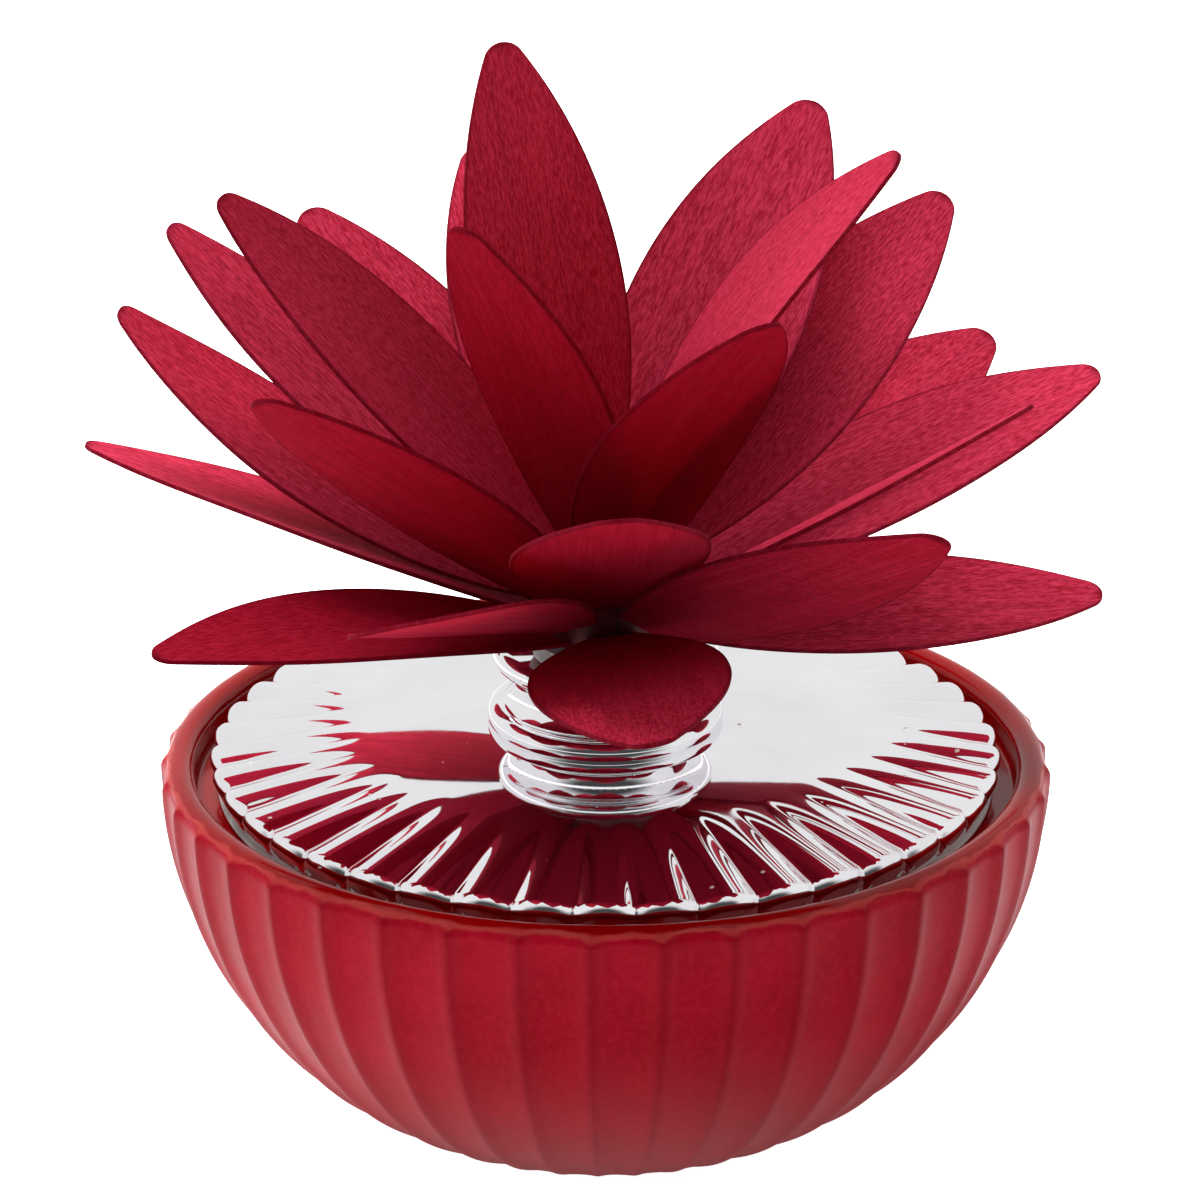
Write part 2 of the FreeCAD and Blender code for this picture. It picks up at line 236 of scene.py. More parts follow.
class Material:
    """Small builder for a node material: each method adds a node and returns its output."""

    def __init__(self, name):
        self.material = bpy.data.materials.new(name)
        self.material.use_nodes = True
        self.nodes = self.material.node_tree.nodes
        self.links = self.material.node_tree.links
        self.surface = self.nodes["Principled BSDF"]
        self.output = self.nodes["Material Output"]

    def feed(self, socket, value):
        if isinstance(value, bpy.types.NodeSocket):
            self.links.new(value, socket)
        elif isinstance(value, tuple) and len(value) == 3 and socket.type == "RGBA":
            socket.default_value = (*value, 1)
        else:
            socket.default_value = value

    def set(self, **values):
        for name, value in values.items():
            self.feed(self.surface.inputs[name.replace("_", " ")], value)

    def coordinates(self, kind):
        return self.nodes.new("ShaderNodeTexCoord").outputs[kind]

    def attribute(self, name):
        node = self.nodes.new("ShaderNodeAttribute")
        node.attribute_name = name
        return node.outputs["Fac"]

    def object_random(self):
        return self.nodes.new("ShaderNodeObjectInfo").outputs["Random"]

    def scaled(self, vector, scale, shift=None):
        node = self.nodes.new("ShaderNodeMapping")
        node.inputs["Scale"].default_value = scale
        self.feed(node.inputs["Vector"], vector)
        if shift is not None:
            self.feed(node.inputs["Location"], shift)
        return node.outputs["Vector"]

    def noise(self, vector, scale, detail=3.0, roughness=0.5):
        node = self.nodes.new("ShaderNodeTexNoise")
        self.feed(node.inputs["Vector"], vector)
        node.inputs["Scale"].default_value = scale
        node.inputs["Detail"].default_value = detail
        node.inputs["Roughness"].default_value = roughness
        return node.outputs["Fac"]

    def spread(self, value, low, high, new_low=0.0, new_high=1.0):
        node = self.nodes.new("ShaderNodeMapRange")
        self.feed(node.inputs["Value"], value)
        limits = {"From Min": low, "From Max": high, "To Min": new_low, "To Max": new_high}
        for name, limit in limits.items():
            self.feed(node.inputs[name], limit)
        return node.outputs["Result"]

    def math(self, operation, first, second=0.5):
        node = self.nodes.new("ShaderNodeMath")
        node.operation = operation
        self.feed(node.inputs[0], first)
        self.feed(node.inputs[1], second)
        return node.outputs["Value"]

    def mix(self, share, first, second, blend="MIX"):
        node = self.nodes.new("ShaderNodeMix")
        node.data_type = "RGBA"
        node.blend_type = blend
        # the node's sockets share names: inputs 6 and 7 are the colours, output 2 is their mix
        self.feed(node.inputs[0], share)
        self.feed(node.inputs[6], first)
        self.feed(node.inputs[7], second)
        return node.outputs[2]

    def mix_value(self, share, first, second):
        node = self.nodes.new("ShaderNodeMix")
        for socket, value in zip(node.inputs[:1] + node.inputs[2:4], (share, first, second)):
            self.feed(socket, value)
        return node.outputs[0]

    def bump(self, height, depth, strength=1.0):
        node = self.nodes.new("ShaderNodeBump")
        node.inputs["Distance"].default_value = depth
        node.inputs["Strength"].default_value = strength
        self.feed(node.inputs["Height"], height)
        return node.outputs["Normal"]


# ---------------------------------------------------------------- petals

PETAL_ROWS = 72
PETAL_COLUMNS = 21
VENEER = 0.5 * MM
TIP_SHARE = 0.24
TIP_ROUNDNESS = 1.1
TIP_END = 0.15 * MM
TIP_CROWDING = 1.5
EDGE_BULGE = 0.09 * MM
WAVE_HEIGHT = 0.12 * MM

# petals that lie in shade among the others, painted darker: painted shade
PAINTED_SHADE_DEPTH = {
    "petal_01": 0.85,
    "petal_02": 0.45,
    "petal_07": 0.5,
    "petal_11": 0.55,
    "petal_14": 0.5,
    "petal_18": 0.65,
    "petal_21": 0.6,
    "petal_23": 0.5,
    "petal_25": 0.2,
    "petal_26": 0.25,
}


def petal_axes(points):
    """Centre and unit axes of a petal: along it from the hub, across it, and out of its top."""
    centre = points.mean(axis=0)
    _, _, axes = np.linalg.svd(points - centre, full_matrices=False)
    along, across = axes[0], axes[1]
    hub_low, hub_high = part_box("petal_hub")
    from_hub = centre - np.array((hub_low + hub_high) / 2)
    if np.dot(along, from_hub) < 0:
        along = -along
    if np.cross(along, across)[2] < 0:
        across = -across
    return centre, np.stack([along, across, np.cross(along, across)])


def sheet_terms(u, v):
    """Terms of the smooth sheet that is laid through a petal."""
    return np.stack([u**0, u, v, u**2, u * v, v**2, u**3, u**2 * v, u * v**2, v**3, u**4], axis=-1)


def petal_half_width(share, length, width):
    """Half width at a share of the length: two long arcs that meet in a round tip."""
    widest = width / 2
    tip = widest * TIP_SHARE
    sagitta = tip * (TIP_ROUNDNESS - math.sqrt(TIP_ROUNDNESS**2 - 1))
    straight = length - sagitta
    swell = widest - tip
    side_arc = ((straight / 2) ** 2 + swell**2) / (2 * swell)
    place = share * length
    side = np.sqrt(side_arc**2 - (place - straight / 2) ** 2) - (side_arc - widest)
    tip_arc = tip * TIP_ROUNDNESS
    beyond = np.clip(place - (length - tip_arc), 0, tip_arc)
    rounded = np.sqrt(np.maximum(tip_arc**2 - beyond**2, 0))
    return np.where(place < straight, side, np.minimum(side, rounded))


def make_petal(name, seed):
    """Fine veneer sheet laid through a petal of the frame, with its own slight waves."""
    points = np.array([vertex.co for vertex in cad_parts[name].data.vertices], dtype=float)
    centre, axes = petal_axes(points)
    local = (points - centre) @ axes.T
    low = local.min(axis=0)
    length, width = (local.max(axis=0) - low)[:2]
    middle = low[1] + width / 2
    scale = length / 2
    terms = sheet_terms(local[:, 0] / scale, local[:, 1] / scale)
    sheet = np.linalg.lstsq(terms, local[:, 2], rcond=None)[0]

    rows = 1 - (1 - np.linspace(0, 1, PETAL_ROWS)) ** TIP_CROWDING
    half_widths = np.maximum(petal_half_width(rows, length, width), TIP_END)[:, None]
    columns = np.sin(np.linspace(-1, 1, PETAL_COLUMNS) * math.pi / 2)
    u = low[0] + rows[:, None] * length + 0 * columns
    v = middle + half_widths * columns
    height = sheet_terms(u / scale, v / scale) @ sheet
    shift = np.random.default_rng(seed).uniform(0, 2 * math.pi, 3)
    ripple = (np.sin(u / (7 * MM) + shift[0]) * np.sin(v / (4 * MM) + shift[1])
              + 0.7 * np.sin(u / (16 * MM) + v / (9 * MM) + shift[2]))
    height += WAVE_HEIGHT * smoothstep(rows, 0.15, 0.6)[:, None] * ripple

    upper = np.stack([u, v, height + VENEER / 2], axis=-1)
    lower = np.stack([u, v, height - VENEER / 2], axis=-1)
    middle_line = (upper + lower) / 2
    bulge = np.array([0, EDGE_BULGE, 0])
    left = middle_line[:, :1] - bulge
    right = middle_line[:, -1:] + bulge
    loop = np.concatenate([left, upper, right, lower[:, ::-1]], axis=1)
    count = loop.shape[1]
    faces = [face[::-1] for face in grid_faces(PETAL_ROWS, count, False, True)]
    last = (PETAL_ROWS - 1) * count
    for column in range(count // 2):
        cap = (column, column + 1, count - column - 1, (count - column) % count)
        cap = tuple(dict.fromkeys(cap))
        faces.append(cap)
        faces.append(tuple(last + index for index in reversed(cap)))
    piece = new_object(f"{name}_veneer", centre + loop.reshape(-1, 3) @ axes, faces)
    set_sharp(piece, 60)

    add_attribute(piece, "along", (loop[:, :, 0] - low[0]) / MM)
    add_attribute(piece, "across", (loop[:, :, 1] - middle) / MM)
    side_edge = smoothstep(np.abs(loop[:, :, 1] - middle) / half_widths, 0.95, 1.0)
    tip_edge = smoothstep(loop[:, :, 0] - low[0], length - 1.2 * MM, length)
    add_attribute(piece, "cut_edge", np.maximum(side_edge, tip_edge))
    on_top = np.arange(count) <= PETAL_COLUMNS + 1
    add_attribute(piece, "upper_face", np.tile(on_top, (PETAL_ROWS, 1)))
    # how far this petal is painted darker: painted shade for petals that lie in shade
    add_attribute(piece, "painted_shade", np.full((PETAL_ROWS, count), PAINTED_SHADE_DEPTH.get(name, 0)))
    dress(piece, veneer, "flower", "dyed_veneer", name)


def veneer_material():
    """Crimson-dyed wood veneer: short lengthwise flecks, fine pores, light glowing through."""
    m = Material("dyed_veneer")
    # the third direction gives each petal a grain of its own
    grain_place = m.nodes.new("ShaderNodeCombineXYZ")
    m.links.new(m.attribute("along"), grain_place.inputs["X"])
    m.links.new(m.attribute("across"), grain_place.inputs["Y"])
    m.links.new(m.math("MULTIPLY", m.object_random(), 97.0), grain_place.inputs["Z"])
    grain = grain_place.outputs["Vector"]
    flecks = m.noise(m.scaled(grain, (0.85, 4.0, 1.0)), 1.0, 3, 0.62)
    streaks = m.noise(m.scaled(grain, (0.05, 1.5, 1.0)), 1.0, 3, 0.6)
    pores = m.noise(m.scaled(grain, (0.55, 4.2, 1.0)), 1.0, 1)
    mottle = m.noise(m.scaled(grain, (0.1, 0.26, 1.0)), 1.0, 3, 0.55)

    colour = m.mix(m.spread(flecks, 0.38, 0.64), (0.29, 0.0006, 0.012), (0.66, 0.014, 0.06))
    colour = m.mix(m.spread(streaks, 0.48, 0.66, 0.0, 0.5), colour, (0.76, 0.036, 0.1))
    colour = m.mix(m.spread(streaks, 0.48, 0.34, 0.0, 0.55), colour, (0.24, 0.0005, 0.01))
    colour = m.mix(m.spread(mottle, 0.42, 0.62, 0.0, 0.35), colour, (0.36, 0.0008, 0.012))
    colour = m.mix(m.spread(pores, 0.62, 0.72, 0.0, 0.6), colour, (0.2, 0.0004, 0.007))
    shade = m.spread(m.object_random(), 0, 1, 0.0, 0.2)
    colour = m.mix(shade, colour, (0.3, 0.0008, 0.016))
    # painted light: upper faces are paler and pinker, as if lit from above with a faint sheen;
    # lower faces keep the darker red as painted shade
    painted_sheen_pink = (0.95, 0.12, 0.24)
    lit_upper_side = m.mix(m.spread(flecks, 0.4, 0.64, 0.14, 0.46), colour, painted_sheen_pink)
    shaded_lower_side = m.mix(0.12, colour, painted_sheen_pink)
    colour = m.mix(m.attribute("upper_face"), shaded_lower_side, lit_upper_side)
    # painted shade: a darker red laid over the petals that lie in shade
    painted_shade_red = m.mix(m.spread(flecks, 0.38, 0.64), (0.15, 0.0001, 0.006), (0.26, 0.001, 0.012))
    colour = m.mix(m.attribute("painted_shade"), colour, painted_shade_red)
    # painted shade: darker toward the root, where the petals crowd together
    colour = m.mix(m.spread(m.attribute("along"), 45, 10, 0, 0.35), colour, painted_shade_red)
    colour = m.mix(m.math("MULTIPLY", m.attribute("cut_edge"), 0.65), colour, (0.07, 0.001, 0.007))
    relief = m.math("SUBTRACT", flecks, m.math("MULTIPLY", pores, 0.6))
    normal = m.bump(relief, 0.07 * MM, 0.5)

    m.set(Base_Color=colour, Roughness=m.spread(flecks, 0.3, 0.7, 0.48, 0.64), Normal=normal,
          Specular_IOR_Level=0.01)
    glow = m.nodes.new("ShaderNodeBsdfTranslucent")
    m.links.new(m.mix(0.5, colour, (0.95, 0.03, 0.1)), glow.inputs["Color"])
    m.links.new(normal, glow.inputs["Normal"])
    blend = m.nodes.new("ShaderNodeMixShader")
    blend.inputs[0].default_value = 0.3
    m.links.new(m.surface.outputs[0], blend.inputs[1])
    m.links.new(glow.outputs[0], blend.inputs[2])
    m.links.new(blend.outputs[0], m.output.inputs["Surface"])
    return m.material


# ---------------------------------------------------------------- bowl

def bowl_profile():
    """Outline from the middle of the floor inside, over the lip, to the middle of the foot.

    Also returns the run of each of its points: the way along it from the lip's outer edge.
    """
    wall_centre = (WALL_CENTRE_RADIUS, WALL_CENTRE_HEIGHT)
    lip_centre = (RIM_RADIUS - LIP_ROUND, RIM_HEIGHT - LIP_ROUND)
    lip_inside = RIM_RADIUS - 2 * LIP_ROUND
    slope_end = LEDGE_HEIGHT - LEDGE_DEPTH - 3 * MM
    inner_end = math.degrees(math.asin((slope_end - WALL_CENTRE_HEIGHT) / INNER_ARC))
    floor = WALL_CENTRE_HEIGHT - INNER_ARC
    outer_start = math.degrees(math.asin((lip_centre[1] - WALL_CENTRE_HEIGHT) / OUTER_ARC))
    outer_end = -math.degrees(math.asin(WALL_CENTRE_HEIGHT / OUTER_ARC))
    inner_wall = arc(wall_centre, INNER_ARC, -90, inner_end, 28)
    ledge_foot = (LEDGE_RADIUS, LEDGE_HEIGHT - LEDGE_DEPTH)
    ledge_edge = (LEDGE_RADIUS, LEDGE_HEIGHT)
    lip_over_edge = arc(lip_centre, LIP_ROUND, LIP_EDGE_ANGLE, outer_start, 12)
    outside = join(lip_over_edge, arc(wall_centre, OUTER_ARC, outer_start, outer_end, 96))
    outside = join(outside, line(outside[-1], (0, 0), 6))
    inside = join(
        line((0, floor), (WALL_CENTRE_RADIUS, floor), 3),
        inner_wall,
        line(inner_wall[-1], ledge_foot, 4),
        line(ledge_foot, ledge_edge, 4),
        line(ledge_edge, (lip_inside - LEDGE_ROUND, LEDGE_HEIGHT), 5),
        arc((lip_inside - LEDGE_ROUND, LEDGE_HEIGHT + LEDGE_ROUND), LEDGE_ROUND, -90, 0, 5),
        line((lip_inside, LEDGE_HEIGHT + LEDGE_ROUND), (lip_inside, lip_centre[1]), 4),
        arc(lip_centre, LIP_ROUND, 180, LIP_EDGE_ANGLE, 18),
    )
    profile = join(inside, outside)
    steps = np.linalg.norm(np.diff(profile, axis=0), axis=1)
    run = np.concatenate([[0], np.cumsum(steps)])
    return profile, run - run[len(inside) - 1]


def make_bowl():
    profile, run = bowl_profile()
    angles, phase = fluted_columns(BOWL_FLUTE_BEARING)
    height = profile[:, 1]
    flute_end = smoothstep(height, 0.3 * MM, 14 * MM)
    depth = BOWL_VALLEY_DEPTH * smoothstep(run, -0.3 * MM, 1.9 * MM) * flute_end
    swell = LOBE_SWELL * smoothstep(run, 0, 0.7 * MM) * flute_end
    unevenness = 0.08 * MM * smoothstep(run, -1 * MM, 2 * MM) * (height > 0.1 * MM)
    inward = (depth[:, None] * valley_shape(phase, 2.3, 0.24)
              - swell[:, None] * (1 - phase**4)
              + unevenness[:, None] * wobble(angles, 3, range(5, 60, 7)))
    normals = outward_normals(profile)
    radii = profile[:, :1] - normals[:, :1] * inward
    heights = profile[:, 1:] - normals[:, 1:] * inward
    piece = turned_piece("bowl_glazed", radii, np.maximum(heights, 0), angles)
    set_sharp(piece, 50)
    for name, values in (("run", run[:, None] / MM + 0 * phase), ("phase", phase + 0 * radii)):
        ends = values[[0, -1], :1]
        add_attribute(piece, name, np.vstack([values[1:-1].reshape(-1, 1), ends]))
    dress(piece, glaze_material(), "bowl", "crimson_glaze", "bowl")


def glaze_material():
    """Crimson glaze over pale clay, thin and lighter where it breaks over the edges.

    The line where it breaks runs round the lip's outer edge, wavers, and dips at each valley.
    Painted shade darkens the valleys; a faint lighter line on each flank is partly thin glaze,
    partly painted highlight.
    """
    m = Material("crimson_glaze")
    place = m.coordinates("Object")
    run, phase = m.attribute("run"), m.attribute("phase")
    valley = m.math("POWER", phase, 4.0)
    waver = m.spread(m.noise(place, 170, 3, 0.6), 0.3, 0.7, -0.35, 0.45)
    line_place = m.math("ADD", waver, m.math("MULTIPLY", valley, 0.35))
    line_width = m.spread(m.noise(place, 210, 2), 0.35, 0.65, 0.2, 0.6)
    line_width = m.math("ADD", line_width, m.math("MULTIPLY", valley, 0.3))
    away = m.math("ABSOLUTE", m.math("SUBTRACT", run, line_place))
    edge_line = m.spread(m.math("DIVIDE", away, line_width), 1.0, 0.35)
    outside = m.spread(run, -0.2, 0.5)
    # a faint lighter line along each flute's flank beside the valley, partly thin glaze and partly
    # painted highlight; it fades toward the foot
    flank_thin_glaze_and_highlight = m.spread(m.math("ABSOLUTE", m.math("SUBTRACT", phase, 0.74)), 0.2, 0.02, 0, 0.1)
    flank_thin_glaze_and_highlight = m.math("MULTIPLY", flank_thin_glaze_and_highlight, m.spread(run, 40, 2))

    cloud = m.noise(place, 75, 4, 0.6)
    grain = m.noise(place, 1300, 2, 0.7)
    wall = m.mix(m.spread(cloud, 0.32, 0.68), (0.3, 0.0006, 0.01), (0.39, 0.002, 0.017))
    wall = m.mix(m.spread(grain, 0.42, 0.66, 0, 0.25), wall, (0.55, 0.015, 0.04))
    # painted shade: the valleys between the flutes are darker
    wall = m.mix(m.math("MULTIPLY", valley, 0.5), wall, (0.19, 0.0006, 0.008))
    colour = m.mix(outside, (0.27, 0.0006, 0.0012), wall)
    # lighter where the glaze breaks over the lip edge, and on the flank lines, which are partly
    # painted highlight
    glaze_break_and_flank_highlight = m.math("MAXIMUM", edge_line, m.math("MULTIPLY", flank_thin_glaze_and_highlight, outside))
    colour = m.mix(m.math("MULTIPLY", glaze_break_and_flank_highlight, 0.6), colour, (0.5, 0.05, 0.045))
    toward_foot = m.math("MULTIPLY", m.math("POWER", m.spread(run, 12, 50), 2.0), 0.5)
    colour = m.mix(toward_foot, colour, (0.75, 0.24, 0.25))
    pits = m.spread(m.noise(place, 520, 1), 0.78, 0.82)
    skin = m.math("SUBTRACT", m.noise(place, 240, 2), m.math("MULTIPLY", pits, 2.0))
    satin = m.spread(cloud, 0.3, 0.7, 0.28, 0.38)
    m.set(Base_Color=colour, Roughness=m.mix_value(outside, 0.12, satin),
          Specular_IOR_Level=m.mix_value(outside, 0.2, 0.06), Normal=m.bump(skin, 0.04 * MM, 0.4))
    return m.material


# ---------------------------------------------------------------- lid

def bulged(start, end, radius, count, side=1):
    """Arc between two points that bulges to the right (side 1) or the left (side -1) of its way."""
    start, end = np.array(start), np.array(end)
    chord = end - start
    half = np.linalg.norm(chord) / 2
    sideways = np.array([-chord[1], chord[0]]) / (2 * half)
    centre = (start + end) / 2 + sideways * math.sqrt(radius**2 - half**2) * side
    spoke = start - centre
    sweep = 2 * math.asin(half / radius) * side
    angles = np.linspace(0, sweep, count) + math.atan2(spoke[1], spoke[0])
    return np.stack([centre[0] + radius * np.cos(angles), centre[1] + radius * np.sin(angles)], 1)


def lid_profile():
    """Closed outline from the bore's lower edge, out under the dome, over the top and the neck."""
    def dome(arc_radius, radii):
        heights = CROWN_HEIGHT - CROWN_ARC + np.sqrt(arc_radius**2 - radii**2)
        return np.stack([radii, heights], 1)

    top = dome(CROWN_ARC, np.linspace(LID_RADIUS - EDGE_ROUND, NECK_FOOT_RADIUS, 70))
    underside = dome(CROWN_ARC - LID_THICKNESS, np.linspace(NECK_BORE, SKIRT_INSIDE, 12))
    edge_start = (LID_RADIUS, top[0, 1] - EDGE_ROUND)
    edge_bottom = (LID_RADIUS, EDGE_BOTTOM_HEIGHT)
    seat = (SEAT_RADIUS, SEAT_HEIGHT)
    neck_end = (NECK_TOP_RADIUS, NECK_TOP)
    skirt_foot_inside = (SKIRT_INSIDE, lid_low.z)
    skirt_foot_outside = (SKIRT_OUTSIDE, lid_low.z)
    skirt_top_outside = (SKIRT_OUTSIDE, SEAT_HEIGHT)
    return join(
        underside,
        line(underside[-1], skirt_foot_inside, 5),
        line(skirt_foot_inside, skirt_foot_outside, 4),
        line(skirt_foot_outside, skirt_top_outside, 5),
        line(skirt_top_outside, seat, 4),
        line(seat, edge_bottom, 6),
        line(edge_bottom, edge_start, 3),
        bulged(edge_start, top[0], EDGE_ROUND, 10),
        top,
        bulged(top[-1], WAIST_FOOT, FOOT_RING_BULGE, 16),
        bulged(WAIST_FOOT, WAIST_TOP, WAIST_HOLLOW, 18, -1),
        bulged(WAIST_TOP, neck_end, TOP_RING_BULGE, 16),
        line(neck_end, (NECK_BORE, NECK_TOP), 8),
        line((NECK_BORE, NECK_TOP), (NECK_BORE, underside[0, 1]), 8),
    )[:-1]


def make_lid():
    """Lobes deepen outward and end in rounded tips; a plain uneven band runs below the tips."""
    profile = lid_profile()
    radius, height = profile[:, :1], profile[:, 1:]
    angles, phase = fluted_columns(LID_FLUTE_BEARING)
    on_top = (height > RIM_HEIGHT - 2 * MM) * (radius > 15 * MM)
    reach = smoothstep(radius, LOBE_START * LID_RADIUS, 0.95 * LID_RADIUS) * on_top
    valley = LID_VALLEY_DEPTH * reach * valley_shape(phase, 2.0, 0.16)
    tip = smoothstep(radius, LID_RADIUS - 7 * MM, LID_RADIUS - EDGE_ROUND)
    tip = tip * smoothstep(height, SEAT_HEIGHT + 0.3 * MM, EDGE_BOTTOM_HEIGHT)
    notch = LID_NOTCH_DEPTH * tip * phase**2.2
    uneven = 0.09 * MM * tip * wobble(angles, 5, range(31, 190, 13))
    piece = turned_piece("lid_silvered", radius - notch + uneven, height - valley, angles)
    set_sharp(piece, 60)
    dress(piece, silver_material(), "lid", "silver_lustre", "lid")


def silver_material():
    """Silver lustre on glazed ceramic: a mirror with a faint orange-peel, dust and pinholes."""
    m = Material("silver_lustre")
    place = m.coordinates("Object")
    peel = m.noise(place, 95, 3, 0.45)
    dust = m.spread(m.noise(place, 700, 1), 0.79, 0.82)
    film = m.spread(m.noise(place, 45, 4, 0.6), 0.4, 0.72)
    tint = m.mix(film, (0.92, 0.915, 0.935), (0.84, 0.82, 0.85))
    tint = m.mix(dust, tint, (0.95, 0.9, 0.85))
    normal = m.bump(m.math("SUBTRACT", peel, dust), 0.05 * MM, 0.3)
    m.set(Base_Color=tint, Metallic=m.spread(dust, 0, 1, 1.0, 0.4),
          Roughness=m.math("MAXIMUM", m.spread(film, 0, 1, 0.025, 0.06),
                           m.math("MULTIPLY", dust, 0.5)), Normal=normal)
    return m.material


# ---------------------------------------------------------------- gasket and wick

GASKET_INSIDE = 46.8 * MM
GASKET_COLUMNS = 256


def make_gasket():
    """Silicone ring with a rounded bead on each face."""
    inner, outer = GASKET_INSIDE, gasket_high.x
    bottom, top = gasket_low.z, gasket_high.z
    middle = (inner + outer) / 2
    level = (bottom + top) / 2
    half = (top - bottom) / 2
    turn = np.linspace(0, 2 * math.pi, 40, endpoint=False)
    reach = (outer - inner) / 2
    beads = half * (0.72 + 0.28 * np.cos(2 * turn) ** 2)
    profile = np.stack([middle + reach * np.cos(turn), level + beads * np.sin(turn)], 1)
    angles = even_angles(GASKET_COLUMNS)
    spread = np.ones((1, GASKET_COLUMNS))
    piece = turned_piece("gasket_ring", profile[:, :1] * spread, profile[:, 1:] * spread, angles)
    dress(piece, silicone_material(), "gasket", "gasket_silicone", "lid_gasket")


def silicone_material():
    m = Material("gasket_silicone")
    place = m.coordinates("Object")
    haze = m.noise(place, 400, 3)
    colour = m.mix(haze, (0.55, 0.54, 0.52), (0.68, 0.67, 0.65))
    m.set(Base_Color=colour, Roughness=m.spread(haze, 0.3, 0.7, 0.4, 0.55),
          Subsurface_Weight=0.3, Subsurface_Radius=(0.002, 0.002, 0.002),
          Normal=m.bump(m.noise(place, 1800, 2), 0.02 * MM, 0.4))
    return m.material


WICK_STRANDS = 10
WICK_PITCH = 11 * MM
WICK_COLUMNS = 120
WICK_ROW = 0.16 * MM
WICK_BORE = 0.55 * MM


def make_wick():
    """Braided cotton cord: strands that wind both ways and pass over and under each other."""
    radius = wick_high.x
    rows = int((wick_high.z - wick_low.z) / WICK_ROW)
    angles = even_angles(WICK_COLUMNS)
    height = np.linspace(wick_low.z, wick_high.z, rows)[:, None]
    turn = angles / (2 * math.pi) * WICK_STRANDS
    climb = (height - wick_low.z) / WICK_PITCH * WICK_STRANDS
    right, left = turn + climb, turn - climb
    over = np.sin(math.pi * right) * np.sin(math.pi * left) * 0.5
    weave = np.cos(math.pi * (right + 0.5)) * np.cos(math.pi * (left + 0.5))
    first = np.abs(np.cos(math.pi * right)) * (0.8 + 0.4 * np.sign(weave) * over)
    second = np.abs(np.cos(math.pi * left)) * (0.8 - 0.4 * np.sign(weave) * over)
    bulge = np.maximum(first, second)
    ends = smoothstep(height, wick_low.z, wick_low.z + 0.8 * MM)
    outside = radius * (0.86 + 0.13 * np.clip(bulge, 0, 1)) - 0.12 * radius * (1 - ends)
    outside_height = height + 0 * outside
    flat = np.ones((1, WICK_COLUMNS))
    radii = np.vstack([WICK_BORE * flat, outside, WICK_BORE * flat])
    heights = np.vstack([wick_low.z * flat, outside_height, wick_high.z * flat])
    piece = turned_piece("cotton_wick", radii, heights, angles)
    dress(piece, cotton_material(), "flower", "cotton", "wick")


def cotton_material():
    m = Material("cotton")
    place = m.coordinates("Object")
    fibres = m.noise(m.scaled(place, (1, 1, 0.3)), 3000, 3, 0.6)
    colour = m.mix(fibres, (0.6, 0.55, 0.46), (0.86, 0.82, 0.74))
    m.set(Base_Color=colour, Roughness=0.9, Sheen_Weight=0.4, Sheen_Roughness=0.5,
          Normal=m.bump(fibres, 0.05 * MM, 0.6))
    return m.material


# ---------------------------------------------------------------- parts kept from the frame

def wood_material():
    """Turned wood dyed with the petals: growth rings about the axis and fine end grain."""
    m = Material("dyed_wood")
    place = m.coordinates("Object")
    rings = m.noise(m.scaled(place, (1, 1, 0.12)), 900, 3, 0.6)
    stain = m.noise(place, 120, 3)
    colour = m.mix(m.spread(rings, 0.3, 0.7), (0.06, 0.0008, 0.004), (0.16, 0.004, 0.014))
    colour = m.mix(m.spread(stain, 0.4, 0.7, 0, 0.4), colour, (0.05, 0.001, 0.004))
    m.set(Base_Color=colour, Roughness=0.6, Normal=m.bump(rings, 0.06 * MM, 0.5))
    return m.material


def stopper_material():
    """Milky moulded polyethylene."""
    m = Material("stopper_plastic")
    place = m.coordinates("Object")
    haze = m.noise(place, 350, 3)
    colour = m.mix(haze, (0.5, 0.5, 0.49), (0.62, 0.62, 0.61))
    m.set(Base_Color=colour, Roughness=m.spread(haze, 0.3, 0.7, 0.3, 0.45),
          Subsurface_Weight=0.35, Subsurface_Radius=(0.003, 0.003, 0.003),
          Normal=m.bump(m.noise(place, 1500, 2), 0.02 * MM, 0.3))
    return m.material


def wire_material():
    """Drawn steel wire with fine lengthwise drawing marks."""
    m = Material("wire_steel")
    place = m.coordinates("Object")
    marks = m.noise(m.scaled(place, (1, 1, 0.02)), 6000, 2)
    colour = m.mix(marks, (0.42, 0.41, 0.4), (0.62, 0.61, 0.6))
    m.set(Base_Color=colour, Metallic=1.0, Roughness=m.spread(marks, 0.3, 0.7, 0.25, 0.4),
          Normal=m.bump(marks, 0.01 * MM, 0.3))
    return m.material


# ---------------------------------------------------------------- build the object

make_bowl()
make_gasket()
make_lid()
make_wick()
veneer = veneer_material()
petal_names = sorted(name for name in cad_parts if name.startswith("petal_"))
petal_names.remove("petal_hub")
for number, petal_name in enumerate(petal_names, start=1):
    make_petal(petal_name, number)
for kept, material, slot in (("petal_hub", wood_material(), "dyed_wood"),
                             ("stopper", stopper_material(), "stopper_plastic"),
                             ("core_wire", wire_material(), "wire_steel")):
    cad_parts[kept].data.materials.clear()
    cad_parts[kept].data.materials.append(material)


# ---------------------------------------------------------------- floor, light and camera

FLOOR_HALF = 3.0
DARK_SIDE = (0, -1, -0.05)
DARK_SIDE_STARTS = 0.35
DARK_SIDE_FULL = 0.85
WALL_LIGHT = 0.86
FRONT_LIGHT = 0.06
MIDDLE_OF_OBJECT = (0, 0, 0.06)
CAMERA_ELEVATION = math.radians(22.87)
CAMERA_TILT = math.radians(20.80)
CAMERA_DISTANCE = 9 * RIM_RADIUS
CAMERA_LENS = 118.56
CAMERA_SHIFT = -0.0044


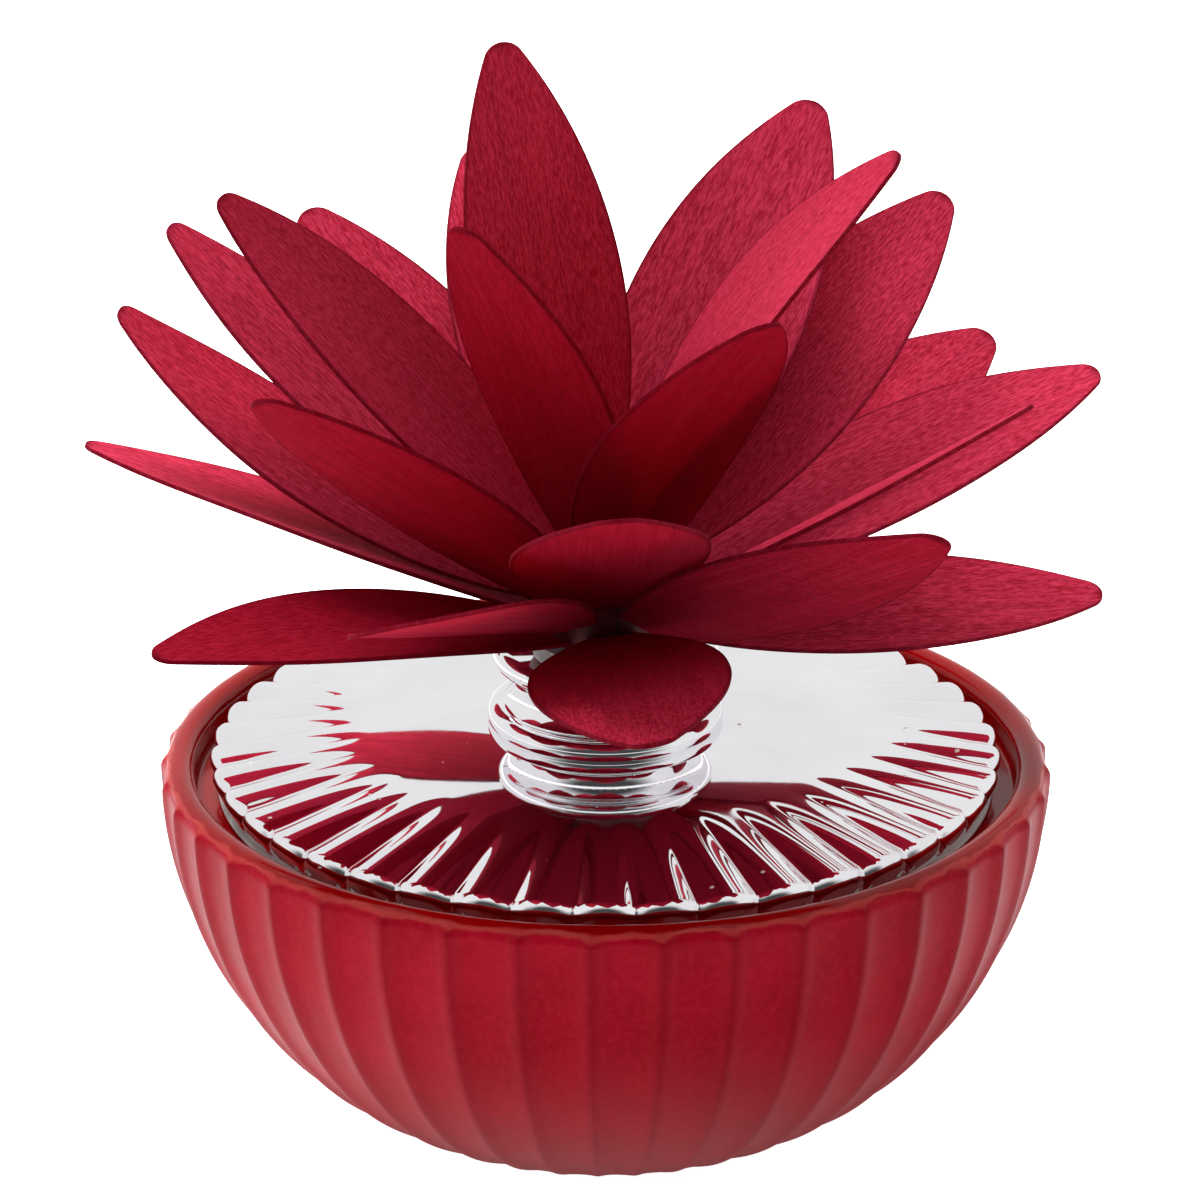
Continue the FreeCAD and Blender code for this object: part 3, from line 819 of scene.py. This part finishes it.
def make_floor():
    """White floor that the camera sees as pure white, lit or not."""
    low, high = -FLOOR_HALF, FLOOR_HALF
    corners = [(low, low, 0), (high, low, 0), (high, high, 0), (low, high, 0)]
    floor = new_object("studio_floor", corners, [(0, 1, 2, 3)])
    m = Material("floor_white")
    tone = m.noise(m.coordinates("Object"), 3, 2)
    m.set(Base_Color=m.mix(tone, (0.9, 0.9, 0.9), (0.92, 0.92, 0.92)), Roughness=0.9,
          Emission_Color=(1, 1, 1))
    seen = m.nodes.new("ShaderNodeLightPath").outputs["Is Camera Ray"]
    m.set(Emission_Strength=m.math("MULTIPLY", seen, 0.95))
    floor.data.materials.append(m.material)


def make_world():
    """White studio walls, behind and to the sides; the side of the camera is dark."""
    world = bpy.data.worlds.new("studio")
    bpy.context.scene.world = world
    world.use_nodes = True
    nodes, links = world.node_tree.nodes, world.node_tree.links
    direction = nodes.new("ShaderNodeTexCoord").outputs["Generated"]
    toward_dark = nodes.new("ShaderNodeVectorMath")
    toward_dark.operation = "DOT_PRODUCT"
    toward_dark.inputs[1].default_value = DARK_SIDE
    links.new(direction, toward_dark.inputs[0])
    light = nodes.new("ShaderNodeMapRange")
    light.interpolation_type = "SMOOTHSTEP"
    links.new(toward_dark.outputs["Value"], light.inputs["Value"])
    for socket, value in zip(("From Min", "From Max", "To Min", "To Max"),
                             (DARK_SIDE_STARTS, DARK_SIDE_FULL, WALL_LIGHT, FRONT_LIGHT)):
        light.inputs[socket].default_value = value
    seen = nodes.new("ShaderNodeMix")
    seen.inputs[3].default_value = 1.0
    links.new(nodes.new("ShaderNodeLightPath").outputs["Is Camera Ray"], seen.inputs[0])
    links.new(light.outputs["Result"], seen.inputs[2])
    links.new(seen.outputs[0], nodes["Background"].inputs["Strength"])
    nodes["Background"].inputs["Color"].default_value = (1, 1, 1, 1)


def area_light(name, place, target, size, power):
    """Round soft lamp that mirrors do not show."""
    data = bpy.data.lights.new(name, "AREA")
    data.shape = "DISK"
    data.size = size
    data.energy = power
    lamp = bpy.data.objects.new(name, data)
    bpy.context.scene.collection.objects.link(lamp)
    lamp.visible_glossy = False
    lamp.location = place
    lamp.rotation_euler = (Vector(target) - Vector(place)).to_track_quat("-Z", "Y").to_euler()


def make_camera():
    data = bpy.data.cameras.new("view")
    data.lens = CAMERA_LENS
    data.sensor_width = 36
    data.shift_x = CAMERA_SHIFT
    camera = bpy.data.objects.new("view", data)
    bpy.context.scene.collection.objects.link(camera)
    camera.location = (0, -CAMERA_DISTANCE * math.cos(CAMERA_ELEVATION),
                       RIM_HEIGHT + CAMERA_DISTANCE * math.sin(CAMERA_ELEVATION))
    camera.rotation_euler = (math.pi / 2 - CAMERA_TILT, 0, 0)
    bpy.context.scene.camera = camera


make_floor()
make_world()
area_light("key", (-0.25, 0.45, 0.75), MIDDLE_OF_OBJECT, 0.5, 11)
area_light("left", (-0.7, -0.25, 0.35), MIDDLE_OF_OBJECT, 0.5, 1)
make_camera()
bpy.context.scene.view_settings.view_transform = "Standard"
